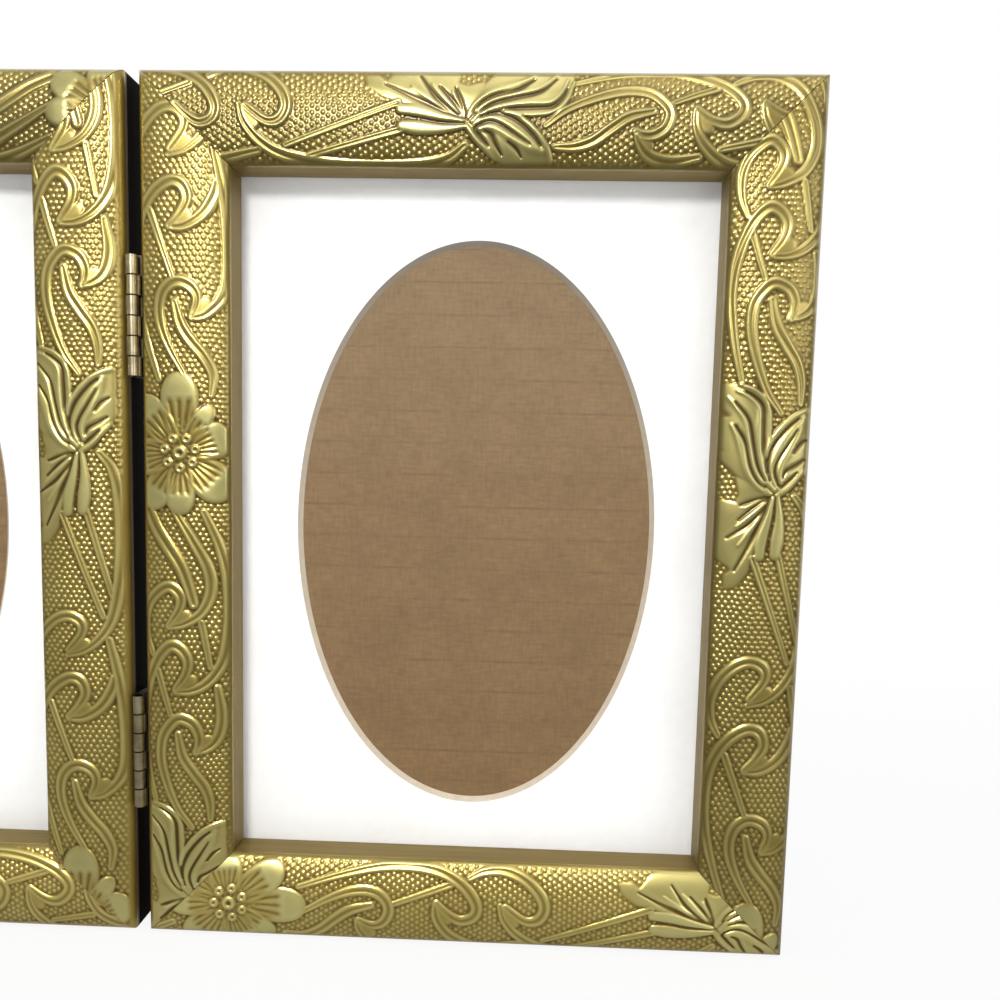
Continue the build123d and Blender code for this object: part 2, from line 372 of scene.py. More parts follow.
# %% The rose on the roll
rose_p, rose_q = FLOWER_AT, 9.5
cells, p, q = window(rose_p - 22, rose_p + 24, rose_q - 17, rose_q + 16)
rose_petals = [
    (0, 19.6, 4.6), (-36, 16.8, 4.0), (-98, 12.5, 4.6), (-150, 15.8, 3.8),
    (180, 15.2, 3.7), (133, 15.6, 4.8), (68, 12.6, 4.6), (33, 13.8, 2.4),
]
for angle, length, half_width in rose_petals:
    motif[cells] = np.maximum(motif[cells], petal(p - rose_p, q - rose_q, angle, length, half_width))
CUP_RING, MIDDLE_CUP, RING_CUP = 3.75, 1.6, 1.06
ring_angles = np.radians(np.arange(7) * 51.4 - 26)
ring_cups = [(CUP_RING * math.cos(a), CUP_RING * math.sin(a), RING_CUP) for a in ring_angles]
rose_cups = [(0, 0, MIDDLE_CUP), *ring_cups]
for cup_p, cup_q, cup_radius in rose_cups:
    off = np.hypot(p - rose_p - cup_p, q - rose_q - cup_q) / cup_radius
    cup = 0.42 * np.exp(-(((off - 0.70) / 0.26) ** 2)) + 0.06
    motif[cells] = np.where(off < 1.15, cup, motif[cells])
print("petals", len(rose_petals), "cups", len(rose_cups))

# %% [markdown]
# ### The pebbled ground
# What the motifs leave free is filled with staggered pebbles about a millimetre across. They lie on two
# square lattices, one shifted by half a step, and each is pushed a little off its place.


# %% Pebbles
def pebbles(p, q):
    """Round dots on two interleaved lattices: each height is a circle over its pushed lattice point."""
    round_the_roll, apart, radius = 96, 1.4, 0.45
    along = ROLL_LENGTH / round_the_roll
    height = np.zeros(p.shape)
    for shift in (0.0, 0.5):
        i = np.floor(p / along + shift)
        j = np.floor(q / apart + shift)
        dp = p - (i + 0.5 - shift) * along - 0.16 * np.sin(12.9 * (i % round_the_roll) + 78.2 * j)
        dq = q - (j + 0.5 - shift) * apart - 0.14 * np.sin(39.3 * (i % round_the_roll) + 11.1 * j)
        height = np.maximum(height, np.sqrt(np.clip(1 - (dp**2 + dq**2) / radius**2, 0, 1)))
    return 0.22 * height


# %% The finished roll
GROUND = 0.56
roll_grid = np.meshgrid(np.arange(ROLL_CELLS) * ROLL_STEP, roll_q)
free_ground = np.clip(1 - blurred((motif > 0.05) | leafy, 0.25) * 2.2, 0, 1)
relief = blurred(np.maximum(motif, pebbles(*roll_grid) * free_ground), 0.11)
relief = GROUND * np.tanh(relief / GROUND)
# The hollow value colours the gilt: a wash and painted shade in the hollows, painted highlight on the tops
hollow = relief - blurred(relief, 0.7)
low_forms = blurred(relief, 1.2)
# Painted sheen: smooth leaves, petals and rims are given a paler share
painted_sheen_share = np.where(leafy, 0.68, motif > 0.30)
smoothness = np.clip(blurred(painted_sheen_share, 0.9) * 1.6 - 0.45, 0, 1) * np.clip((hollow + 0.09) / 0.11, 0, 1)
print("relief from", relief.min().round(3), "to", relief.max().round(3), "mm")

# %% [markdown]
# ## The mouldings
# Each side of a leaf is one length of moulding with mitred ends. Its section is carried along the side:
# a dark outer side, a rounded shoulder, the low dome with the ornament, the lip's wall, the ledge and
# rabbet that hold the glass, and the flat back. Columns run along the side and slant with the mitre,
# because a row that lies further in starts later and ends earlier.


# %% The section of the moulding
def arc_centre(a, b, c):
    """Centre and radius of the circle through three points, from its two perpendicular bisectors."""
    m = 2 * np.array([np.subtract(b, a), np.subtract(c, a)])
    k = np.array([np.dot(b, b) - np.dot(a, a), np.dot(c, c) - np.dot(a, a)])
    centre = np.linalg.solve(m, k)
    return centre, np.hypot(*(centre - a))


WIDTH = moulding_width / MM
SHOULDER, LIP = 2.0, 0.8
OUTER_DROP, INNER_DROP = 2.8, 2.4
dome_centre, dome_radius = arc_centre((0.0, OUTER_DROP), (WIDTH / 2, 0.0), (WIDTH, INNER_DROP))


def front_drop(a):
    """Drop below the crown at a, the distance from the outer side: the dome's arc and two rounded edges."""
    dome = dome_centre[1] - np.sqrt(dome_radius**2 - (a - dome_centre[0]) ** 2)
    outer = np.clip(SHOULDER - a, 0, SHOULDER)
    inner = np.clip(LIP - (WIDTH - a), 0, LIP)
    return dome + SHOULDER - np.sqrt(SHOULDER**2 - outer**2) + LIP - np.sqrt(LIP**2 - inner**2)


shoulder_arc, lip_arc = np.linspace(0, np.pi / 2, 13), np.linspace(np.pi / 2, 0, 7)
front_a = np.concatenate([
    SHOULDER * (1 - np.cos(shoulder_arc)),
    np.linspace(SHOULDER, WIDTH - LIP, 90)[1:-1],
    WIDTH - LIP * (1 - np.cos(lip_arc)),
])
ROLL_WIDTH, ROLL_FIT = 21.0, 0.9905
BOLE_START, BOLE_END = 0.3, 1.1
front_y = crown_y / MM + front_drop(front_a)
nail_show = 0.05
back_row = back_y / MM - nail_show
inner_a = WIDTH - rabbet_width / MM
section_a = np.concatenate([[0, 0, 0], front_a, [WIDTH, inner_a, inner_a]])
section_y = np.concatenate([
    [back_row, front_y[0] + BOLE_END, front_y[0] + BOLE_START],
    front_y,
    [ledge_y / MM, ledge_y / MM, back_row],
])
FRONT = slice(3, 3 + len(front_a))
print("section of", len(section_a), "rows, edges drop", front_drop(np.array([0, WIDTH])).round(2))


# %% Reading the roll
def on_roll(sheet, p, q):
    """The sheet's value at p and q, by blending the four nearest cells; p wraps round the roll."""
    col = p / ROLL_STEP
    row = np.clip((q - roll_q[0]) / ROLL_STEP, 0, len(roll_q) - 1.001)
    c, r = np.floor(col).astype(int), np.floor(row).astype(int)
    fc, fr = col - c, row - r
    c, c_next = c % sheet.shape[1], (c + 1) % sheet.shape[1]
    upper = sheet[r, c] * (1 - fc) + sheet[r, c_next] * fc
    lower = sheet[r + 1, c] * (1 - fc) + sheet[r + 1, c_next] * fc
    return upper * (1 - fr) + lower * fr


def roll_place(u, pins):
    """The roll's p at u: straight between the pins, and at the moulding's own rate beyond them."""
    pin_u, pin_p = np.array(pins, float).T
    beyond = np.minimum(u - pin_u[0], 0) + np.maximum(u - pin_u[-1], 0)
    return np.interp(u, pin_u, pin_p) + ROLL_FIT * beyond


def eased(low, high, x):
    """Goes smoothly from 0 at low to 1 at high."""
    t = np.clip((x - low) / (high - low), 0, 1)
    return t * t * (3 - 2 * t)


# %% A mesh from rows and columns
def outward(points, quads):
    """The quads, turned over if the volume they enclose about their own middle comes out negative."""
    corner = (points - points.mean(axis=0))[quads]
    volume = np.einsum("ij,ij->i", corner[:, 0], np.cross(corner[:, 1], corner[:, 2])).sum()
    volume += np.einsum("ij,ij->i", corner[:, 0], np.cross(corner[:, 2], corner[:, 3])).sum()
    return (quads, 1) if volume > 0 else (quads[:, ::-1], -1)


def ring_quads(rows, columns, wrap_columns=False):
    """Corner numbers of the quads between rows that close into a ring and columns that may close too."""
    i, j = np.meshgrid(np.arange(rows), np.arange(columns - (not wrap_columns)), indexing="ij")
    i_next, j_next = (i + 1) % rows, (j + 1) % columns
    corners = [i * columns + j, i * columns + j_next, i_next * columns + j_next, i_next * columns + j]
    return np.stack(corners, axis=-1).reshape(-1, 4)


def new_piece(name, points, faces, smooth=True):
    """An object at the origin whose mesh holds the points, in metres, and the faces."""
    mesh = bpy.data.meshes.new(name)
    mesh.from_pydata(points, [], faces)
    mesh.polygons.foreach_set("use_smooth", np.full(len(mesh.polygons), smooth))
    mesh.update()
    piece = bpy.data.objects.new(name, mesh)
    scene.collection.objects.link(piece)
    return piece


def closed_ring(name, rows, smooth=True):
    """A piece from rows of points in millimetres, closed round each row and from the last to the first."""
    points = np.concatenate(rows)
    quads, _ = outward(points, ring_quads(len(rows), len(rows[0]), wrap_columns=True))
    return new_piece(name, points * MM, quads.tolist(), smooth)


# %% Values and sharp edges on a mesh
def point_values(mesh, name, values):
    """Writes one number per point as an attribute that the materials can read."""
    numbers = np.asarray(values, np.float32).ravel()
    mesh.attributes.new(name, "FLOAT", "POINT").data.foreach_set("value", numbers)


def crisp_edges(mesh, columns, rows, ends=()):
    """Marks the edges that run along the given rows of a grid, or along its end columns, as sharp."""
    pair = np.zeros(len(mesh.edges) * 2, np.int32)
    mesh.edges.foreach_get("vertices", pair)
    row, col = (pair // columns).reshape(-1, 2), (pair % columns).reshape(-1, 2)
    hard = (row[:, 0] == row[:, 1]) & np.isin(row[:, 0], rows)
    hard |= (col[:, 0] == col[:, 1]) & np.isin(col[:, 0], ends)
    mesh.attributes.new("sharp_edge", "BOOLEAN", "EDGE").data.foreach_set("value", hard)


# %% [markdown]
# ### Carrying the section along a side
# A side is told where its outer corner is, which way it runs and which way is inwards. The roll's p and
# q follow from the way the moulding lay when it was pressed: up the stiles and from left to right along
# the rails, so the same print turns up at a different place on each side. Pins tie places on the side to
# places on the roll, because a pressed print creeps a little as it is rolled. Where the two leaves touch
# when they fold shut, near the hinge, broad forms are halved and the rest is held under a lower ceiling:
# the grooves stay crisp, and the leaves still close.

# %% One side of a leaf
LOW_UNTIL, FULL_FROM = 3.5, 8.0
CEILING, LOWERED = 0.83, 0.6
GILT, BOLE, STAIN, WASH, RAW = range(5)


def moulding_side(name, start, run, inward, length, columns, flip_q, pins, q_at, painted_light, mitre_gap=0.09):
    """Section rows by columns along the side; the front rows rise from the ground by the roll's relief."""
    share = np.linspace(0, 1, columns)[None, :]
    a = np.repeat(section_a[:, None], columns, axis=1)
    ends = a[:, :1] + mitre_gap
    u = ends + (length - 2 * ends) * share
    y = np.repeat(section_y[:, None], columns, axis=1)
    front_u, across = u[FRONT], a[FRONT]
    v = WIDTH - across if flip_q else across
    # The ornament dies out towards both edges of the face
    fade = eased(0.6, 1.8, across) * eased(0.2, 1.2, WIDTH - across)
    sunk = np.sin(np.pi * across / WIDTH) ** 2
    p, q = roll_place(front_u, pins), v * ROLL_WIDTH / WIDTH + q_at
    rise = on_roll(relief, p, q)
    if "hinge" in name:
        near = 1 - eased(LOW_UNTIL, FULL_FROM, across)
        ceiling = CEILING - LOWERED * near
        rise = ceiling * np.tanh((rise - 0.5 * near * on_roll(low_forms, p, q)) / ceiling)
    y[FRONT] += GROUND * sunk - rise * fade
    points = np.array(start) / MM + u[..., None] * np.array(run) + a[..., None] * np.array(inward)
    points = points.reshape(-1, 3)
    points[:, 1] = y.ravel()
    quads, way = outward(points, ring_quads(len(section_a), columns))
    first = np.arange(len(section_a)) * columns
    caps = [first.tolist()[::way], (first + columns - 1).tolist()[::-way]]
    piece = new_piece(name, points * MM, quads.tolist() + caps)
    finish_side(piece.data, columns, u, on_roll(hollow, p, q) * fade, on_roll(smoothness, p, q) * fade)
    # Painted light: each side is made lighter or darker across its width
    painted_light_across = np.interp(a, (0, WIDTH / 4, WIDTH * 0.64, WIDTH), painted_light)
    # Painted shade: the face is darkened towards the lip
    painted_light_across[FRONT] *= 0.62 + 0.38 * eased(0.3, 1.8, WIDTH - across)
    point_values(piece.data, "painted_light", painted_light_across)
    return piece


# %% Values and finishes of a side
def finish_side(mesh, columns, u, hollows, smooths):
    """Adds the values that the finishes read, a grain map along the side, hard edges and finish numbers."""
    whole = np.zeros((2, len(section_a), columns))
    whole[0, FRONT], whole[1, FRONT] = hollows, smooths
    point_values(mesh, "hollow", whole[0])
    point_values(mesh, "smoothness", whole[1])
    girth = np.concatenate([[0], np.hypot(np.diff(section_a), np.diff(section_y)).cumsum()])
    grain = np.stack([u, np.repeat(girth[:, None], columns, axis=1)], axis=-1).reshape(-1, 2) * MM
    corner = np.zeros(len(mesh.loops), np.int32)
    mesh.loops.foreach_get("vertex_index", corner)
    mesh.uv_layers.new(name="grain").data.foreach_set("uv", grain[corner].astype(np.float32).ravel())
    rows = len(section_a)
    crisp_edges(mesh, columns, [0, rows - 3, rows - 2, rows - 1], [0, columns - 1])
    strip = np.full(rows, GILT)
    strip[:2] = STAIN, BOLE
    strip[-4] = WASH
    strip[-3:] = RAW
    finish = np.concatenate([np.repeat(strip, columns - 1), [RAW, RAW]])
    mesh.polygons.foreach_set("material_index", finish.astype(np.int32))


# %% Places and painted light of the eight sides
RAIL_COLUMNS, STILE_COLUMNS = 692, 870
roll_pins = {
    "right_hinge_stile": [
        (11.7, 1.0), (30.7, 20.2), (47.9, 39.1), (56.9, 48.0), (63.2, 53.6), (79.2, 68.2),
        (122.2, 111.8), (153.5, 143.7), (174.1, 163.0), (190.6, 179.1),
    ],
    "right_outer_stile": [
        (27.9, -87.0), (47.7, -67.8), (64.3, -51.7), (115.2, 0.1), (155.6, 39.3), (169.4, 53.5),
        (184.5, 67.9),
    ],
    "right_top_rail": [
        (9.2, 163.3), (25.2, 179.8), (77.6, 230.8), (116, 270), (129.3, 284.3), (141.2, 295.6),
    ],
    "right_bottom_rail": [(21.3, 111.3), (58.2, 148.0), (79, 168.8), (95.8, 185.3), (142.8, 230.8)],
    "left_hinge_stile": [
        (35.5, -87.4), (55.4, -67.9), (71.4, -51.9), (81.0, -41.2), (121.7, -0.1), (142.5, 20.8),
        (160.6, 39.3), (174.6, 53.3), (191.5, 68.3),
    ],
    "left_outer_stile": [(0, -52.0)],
    "left_top_rail": [(158.0, 111.3)],
    "left_bottom_rail": [(134.2, 54.0)],
}
roll_offsets = {
    "right_hinge_stile": -0.1, "right_outer_stile": -1.8, "right_top_rail": -0.8, "right_bottom_rail": -2.5,
    "left_hinge_stile": 0.65, "left_outer_stile": 0.4, "left_top_rail": -0.9, "left_bottom_rail": -2.3,
}
# Painted light across the width, at the outer side, a quarter, 0.64 and the lip; top rails darker, bottom
# lighter
painted_light_by_side = {
    "top": (0.95, 0.66, 0.53, 0.76), "bottom": (0.98, 1.08, 1.27, 1.13),
    "hinge": (1.02, 0.95, 0.96, 1.03), "outer": (0.65, 0.94, 0.81, 0.80),
}

# %% Sides in place
sides = {}
for leaf, left_x, right_x in (("right", leaf_left, leaf_right), ("left", -leaf_right, -leaf_left)):
    stile_at_left = "hinge" if leaf == "right" else "outer"
    stile_at_right = "outer" if leaf == "right" else "hinge"
    stile, rail = (leaf_height / MM, STILE_COLUMNS), (leaf_width / MM, RAIL_COLUMNS)
    layout = {
        f"{leaf}_{stile_at_left}_stile": ((left_x, 0, 0), (0, 0, 1), (1, 0, 0), *stile, False),
        f"{leaf}_{stile_at_right}_stile": ((right_x, 0, 0), (0, 0, 1), (-1, 0, 0), *stile, True),
        f"{leaf}_top_rail": ((left_x, 0, leaf_height), (1, 0, 0), (0, 0, -1), *rail, False),
        f"{leaf}_bottom_rail": ((left_x, 0, 0), (1, 0, 0), (0, 0, 1), *rail, True),
    }
    for node, place in layout.items():
        painted_light = painted_light_by_side[node.split("_")[1]]
        sides[node] = moulding_side(node + "_gilt", *place, roll_pins[node], roll_offsets[node], painted_light)
        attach(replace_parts(sides[node], node), leaf + "_leaf")
print({node: len(piece.data.polygons) for node, piece in sides.items()})

# %% [markdown]
# ## Finishes
# Each finish is a small tree of nodes round one shader. The same few steps come up again and again: noise,
# a range, a ramp of colours, a mix, a bump. So each step is a function that adds its node, feeds it and
# returns its output. Numbers that are the same all over are set on the shader itself; only what changes
# over the surface comes through a link.


# %% Nodes and links
def feed(socket, value):
    """Links an input if the value is another node's output, and sets it if it is a number or a colour."""
    if isinstance(value, bpy.types.NodeSocket):
        socket.id_data.links.new(value, socket)
    elif socket.type == "RGBA":
        socket.default_value = (*value, 1)
    else:
        socket.default_value = value


def add(tree, kind, *given, **settings):
    """A new node: given feeds its inputs in order, and a setting names an input or a property."""
    node = tree.nodes.new("ShaderNode" + kind)
    for key, value in settings.items():
        if key in node.inputs:
            feed(node.inputs[key], value)
        else:
            setattr(node, key, value)
    for socket, value in zip(node.inputs, given):
        feed(socket, value)
    return node


def finish_of(name):
    """A new material and its tree of nodes."""
    material = bpy.data.materials.new(name)
    material.use_nodes = True
    return material, material.node_tree


def shade(tree, **inputs):
    """Feeds the tree's shader; an underscore in a name stands for a space."""
    shader = tree.nodes["Principled BSDF"]
    for name, value in inputs.items():
        feed(shader.inputs[name.replace("_", " ")], value)


# %% Steps of a finish
def own_place(tree):
    """The point in the object's own coordinates."""
    return add(tree, "TexCoord").outputs["Object"]


def carried(tree, name):
    """A number that each point of the piece carries with it."""
    return add(tree, "Attribute", attribute_name=name).outputs["Fac"]


def noise(tree, place, scale, detail, roughness=0.5, stretch=None):
    """Cloudy noise, squeezed by the stretch if there is one."""
    if stretch:
        place = add(tree, "Mapping", place, Scale=stretch).outputs["Vector"]
    clouds = add(tree, "TexNoise", Vector=place, Scale=scale, Detail=detail, Roughness=roughness)
    return clouds.outputs["Fac"]


def ranged(tree, value, to_low=0.0, to_high=1.0, from_low=0.0, from_high=1.0):
    """A value carried from one range to another and held at its ends."""
    return add(tree, "MapRange", value, from_low, from_high, to_low, to_high).outputs["Result"]


def ramp(tree, value, *stops):
    """A colour by a value; a stop is a place and a colour, or a place and one number for a grey."""
    node = add(tree, "ValToRGB", value)
    bar = node.color_ramp.elements
    while len(bar) < len(stops):
        bar.new(0.5)
    for element, (place, colour) in zip(bar, stops):
        element.position = place
        element.color = (*colour, 1) if isinstance(colour, tuple) else (colour, colour, colour, 1)
    return node.outputs["Color"]


def mixed(tree, share, first, second, way="MIX"):
    """Two colours mixed by a share."""
    node = add(tree, "Mix", share, data_type="RGBA", blend_type=way)
    feed(node.inputs[6], first)
    feed(node.inputs[7], second)
    return node.outputs[2]


def bump(tree, height, strength, distance, normal=None):
    """The normal tilted by a height, over another normal if there is one."""
    node = add(tree, "Bump", Height=height, Strength=strength, Distance=distance)
    if normal is not None:
        feed(node.inputs["Normal"], normal)
    return node.outputs["Normal"]


WHITE = (1.0, 1.0, 1.0)

# %% [markdown]
# ### Gilt
# The face is bronze-gold foil over the pressed wood. The press and years of dusting leave the hollows
# brown and the tops rubbed bright, so the colour follows the height of the relief above its
# surroundings, which each point of the side carries with it. The brown hollows are partly painted shade
# and the pale tops partly painted highlight. Soft clouds break up the tone, and smooth leaves and petals
# are made paler as painted sheen. A last value is painted light: it makes each length lighter or darker
# across its width, from the outer side to the lip, by how light falls on that side, and it paints shade
# along the lip.


# %% Gilt face
def gilt_face():
    """Brown hollows to pale tops, partly painted shade and highlight, with clouded tone and roughness."""
    material, tree = finish_of("gilt_face")
    place = own_place(tree)
    # Painted shade in the hollows and painted highlight on the tops, over a real wash and rubbed wear
    tone = ramp(
        tree, ranged(tree, carried(tree, "hollow"), from_low=-0.13, from_high=0.30),
        (0.0, (0.137, 0.084, 0.016)), (0.28, (0.475, 0.36, 0.094)),
        (0.58, (0.635, 0.56, 0.192)), (1.0, (0.92, 0.89, 0.59)),
    )
    clouds = noise(tree, place, 70.0, 4.0)
    cloud_tone = ramp(tree, clouds, (0.3, (0.86, 0.83, 0.74)), (0.7, WHITE))
    clouded = mixed(tree, 1.0, tone, cloud_tone, "MULTIPLY")
    # Painted sheen: smooth leaves and petals are mixed towards a paler tone
    painted_sheen_share = ranged(tree, carried(tree, "smoothness"), to_high=0.48)
    painted_sheen_tone = mixed(tree, painted_sheen_share, clouded, (0.78, 0.77, 0.345))
    # Painted light across each side's width, with painted shade at the lip
    painted_light = add(tree, "Attribute", attribute_name="painted_light").outputs["Color"]
    shade(
        tree,
        Base_Color=mixed(tree, 1.0, painted_sheen_tone, painted_light, "MULTIPLY"),
        Roughness=ranged(tree, clouds, 0.26, 0.38),
        Normal=bump(tree, noise(tree, place, 2600.0, 2.0), 0.12, 0.00006),
        Metallic=0.78, Coat_Weight=0.5, Coat_Roughness=0.18,
    )
    return material


# %% [markdown]
# ### Stained wood, bole and raw wood
# The outer sides are stained almost black; a thin reddish line of undercoat shows where the foil ends.
# The lip's wall has a thin wash of dull gold over brown. The rabbet and the back are bare wood, with
# grain that follows each piece through its own map.


# %% Wood finishes of the moulding
def grained_wood(name, dark, light, roughness, metal=0.0, shine=0.5):
    """Streaks: noise squeezed across the grain, between a dark and a light tone, with matching bump."""
    material, tree = finish_of(name)
    grain = add(tree, "UVMap", uv_map="grain").outputs["UV"]
    streaks = noise(tree, grain, 1.0, 6.0, 0.62, stretch=(18.0, 900.0, 1.0))
    shade(
        tree,
        Base_Color=ramp(tree, streaks, (0.3, dark), (0.7, light)),
        Roughness=ranged(tree, streaks, roughness + 0.08, roughness - 0.08),
        Normal=bump(tree, streaks, 0.25, 0.0001),
        Metallic=metal, Specular_IOR_Level=shine,
    )
    return material


side_finishes = [
    gilt_face(),
    grained_wood("bole_edge", (0.085, 0.04, 0.025), (0.185, 0.092, 0.055), 0.5),
    grained_wood("stained_side", (0.0032, 0.0022, 0.001), (0.011, 0.0066, 0.0028), 0.6, shine=0.02),
    grained_wood("gilt_washed_wall", (0.18, 0.122, 0.032), (0.245, 0.172, 0.045), 0.45, 0.5, shine=0.12),
    grained_wood("raw_wood", (0.36, 0.23, 0.12), (0.58, 0.42, 0.25), 0.62),
]
for piece in sides.values():
    for material in side_finishes:
        piece.data.materials.append(material)
print("finishes on a side", [material.name for material in side_finishes])

# %% [markdown]
# ## The mat
# A sheet of white card with an oval window, cut with a slanted blade so that its cream core shows as a
# thin bevel. It is a ring: the rectangle outside and the oval inside share the same angles, and four
# rows (front edge, window edge, end of the bevel, back edge) close round it.

# %% Mat with its bevel
OVAL_WIDTH, OVAL_HEIGHT, BEVEL = 89.9, 141.7, 1.1
OVAL_SHIFT, OVAL_DROP = 0.6, 1.35


def mat_ring(name, node, shift):
    """Four rows by angle: at each angle the ray meets the rectangle and the ellipses of the window."""
    low, high = box_mm(node)
    middle, half = (low + high) / 2, (high - low) / 2
    corner = math.atan2(half[2], half[0])
    corners = [corner, np.pi - corner, np.pi + corner, 2 * np.pi - corner]
    angle = np.sort(np.concatenate([np.linspace(0, 2 * np.pi, 256, endpoint=False), corners]))
    c, s = np.cos(angle), np.sin(angle)
    edge = 1 / np.maximum(np.abs(c) / half[0], np.abs(s) / half[2])
    rows = []
    for across, up, y in (
        (edge * c, edge * s, low[1]),
        (OVAL_WIDTH / 2 * c + shift, OVAL_HEIGHT / 2 * s - OVAL_DROP, low[1]),
        ((OVAL_WIDTH / 2 - BEVEL) * c + shift, (OVAL_HEIGHT / 2 - BEVEL) * s - OVAL_DROP, high[1]),
        (edge * c, edge * s, high[1]),
    ):
        rows.append(np.column_stack([middle[0] + across, np.full_like(across, y), middle[2] + up]))
    piece = closed_ring(name, rows, smooth=False)
    strips = np.repeat(np.array([0, 1, 0, 0], np.int32), len(angle))
    piece.data.polygons.foreach_set("material_index", strips)
    # Painted shade: the bevel is greyed more towards its top, which faces down
    point_values(piece.data, "painted_shade_share", np.tile((0.5 + 0.5 * s) ** 2, len(rows)))
    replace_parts(piece, node)
    return piece


mats = []
for leaf, shift in (("right", OVAL_SHIFT), ("left", -OVAL_SHIFT)):
    mats.append(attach(mat_ring(f"{leaf}_mat_sheet", f"{leaf}_mat", shift), f"{leaf}_leaf"))
print("mats", [piece.name for piece in mats])


# %% Paper finishes
def paper(name, dark, light, fibre_scale, roughness, flecks=0.0, grey=None):
    """Fibres between two tones, slow clouds over them, sparse flecks, and painted shade where the piece
    carries it.
    """
    material, tree = finish_of(name)
    place = own_place(tree)
    fibre = noise(tree, place, fibre_scale, 5.0, 0.65)
    tone = ramp(tree, fibre, (0.3, dark), (0.7, light))
    cloud_tone = ramp(tree, noise(tree, place, 22.0, 3.0), (0.3, (0.92, 0.92, 0.91)), (0.7, WHITE))
    colour = mixed(tree, 1.0, tone, cloud_tone, "MULTIPLY")
    if flecks:
        few = ramp(tree, noise(tree, place, fibre_scale * 0.35, 2.0), (0.64, 0.0), (0.72, flecks))
        colour = mixed(tree, few, colour, (0.2, 0.13, 0.07))
    # Painted shade, mixed in by the share that the piece carries
    if grey:
        colour = mixed(tree, carried(tree, "painted_shade_share"), colour, grey)
    shade(
        tree,
        Base_Color=colour,
        Roughness=ranged(tree, fibre, roughness - 0.06, roughness + 0.06),
        Normal=bump(tree, fibre, 0.15, 0.00005),
    )
    return material


def dress(node, material):
    """Puts a finish on every slot of a solid that is shown as it is."""
    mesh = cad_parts[node].data
    if not mesh.materials:
        mesh.materials.append(material)
    for index in range(len(mesh.materials)):
        mesh.materials[index] = material


# %% Mats and boards in paper
core_cream = ((0.68, 0.58, 0.44), (0.79, 0.70, 0.57))
mat_white = paper("mat_white", (0.94, 0.94, 0.935), (0.975, 0.975, 0.97), 420.0, 0.8)
# The core's grey is painted shade on the upper bevel
mat_core = paper("mat_core", *core_cream, 700.0, 0.85, grey=(0.27, 0.235, 0.195))
hardboard = paper("hardboard", (0.17, 0.095, 0.045), (0.27, 0.16, 0.08), 300.0, 0.6, flecks=0.3)
for piece in mats:
    piece.data.materials.append(mat_white)
    piece.data.materials.append(mat_core)
for leaf in LEAVES:
    dress(leaf + "_back_board", hardboard)
print("paper finishes", [material.name for material in (mat_white, mat_core, hardboard)])

# %% [markdown]
# ### The card behind the window
# It is corrugated card: its waves lie level, about eight millimetres apart, and the paper is creased in
# thin broken lines where it is glued to them. Fibres run both ways, and the sheet is paler at the top.

# %% Fluted kraft card
FIRST_CREASE, CREASE_PITCH = 46.3 * MM, 7.92 * MM


def maths(tree, operation, first, second):
    """One sum on two numbers."""
    return add(tree, "Math", first, second, operation=operation).outputs[0]


def off_pitch(tree, value, first, pitch):
    """How far a value lies from the nearest of the lines that start at first, a pitch apart."""
    return maths(tree, "PINGPONG", maths(tree, "SUBTRACT", value, first), pitch / 2)


def fluted_card():
    """Kraft tones by fibres both ways, thin dark creases at every pitch in height, and a paler top."""
    material, tree = finish_of("kraft_card")
    place = own_place(tree)
    height = add(tree, "SeparateXYZ", place).outputs["Z"]
    stretches = ((260.0, 1.0, 1500.0), (1500.0, 1.0, 260.0), (60.0, 1.0, 80.0))
    fibre, cross_fibre, blotch = (noise(tree, place, 1.0, 4.0, 0.6, stretch) for stretch in stretches)
    level = ranged(tree, height, from_low=0.04, from_high=0.16)
    colour = ramp(tree, level, (0.0, (0.212, 0.123, 0.045)), (1.0, (0.250, 0.160, 0.074)))
    for grain, dark in (
        (fibre, (0.85, 0.84, 0.81)), (cross_fibre, (0.88, 0.87, 0.85)), (blotch, (0.91, 0.90, 0.88)),
    ):
        tone = ramp(tree, grain, (0.34, dark), (0.60, (1.04, 1.04, 1.04)))
        colour = mixed(tree, 1.0, colour, tone, "MULTIPLY")
    off_line = off_pitch(tree, height, FIRST_CREASE, CREASE_PITCH)
    crease = ranged(tree, off_line, 1.0, 0.0, 0.00012, 0.0004)
    broken = ramp(tree, blotch, (0.44, 0.06), (0.62, 0.55))
    creased = mixed(tree, maths(tree, "MULTIPLY", crease, broken), colour, (0.12, 0.072, 0.03))
    shade(
        tree,
        Base_Color=creased,
        Roughness=ranged(tree, fibre, 0.68, 0.82),
        Normal=bump(tree, fibre, 0.12, 0.00005, bump(tree, off_line, 0.25, 0.00012)),
    )
    return material


kraft = fluted_card()
for leaf in LEAVES:
    dress(leaf + "_kraft_card", kraft)
print("kraft card with a wave every", CREASE_PITCH / MM, "mm")

# %% [markdown]
# ## Glass
# Picture glass is thin and clear, so both its faces are faint films here: almost all light passes, and
# more is thrown back at a slant. Rays go straight through such a film, so the plain Fresnel node would
# take its inner face for a mirror; a fifth power of the slant gives the same curve on both faces.


# %% Clear pane
def clear_pane():
    """A mirror film: its cover is 0.03 face on and grows with the fifth power of one minus the cosine."""
    material, tree = finish_of("clear_pane")
    facing = add(tree, "LayerWeight", Blend=0.5).outputs["Facing"]
    smear = noise(tree, own_place(tree), 14.0, 3.0)
    shade(
        tree,
        Base_Color=ramp(tree, smear, (0.3, (0.86, 0.90, 0.88)), (0.7, (0.94, 0.96, 0.95))),
        Roughness=ranged(tree, smear, 0.02, 0.10),
        Alpha=ranged(tree, maths(tree, "POWER", facing, 5.0), 0.03, 0.9),
        Metallic=1.0,
    )
    return material


pane = clear_pane()
for leaf in LEAVES:
    dress(leaf + "_glass", pane)
print("panes", len(LEAVES))

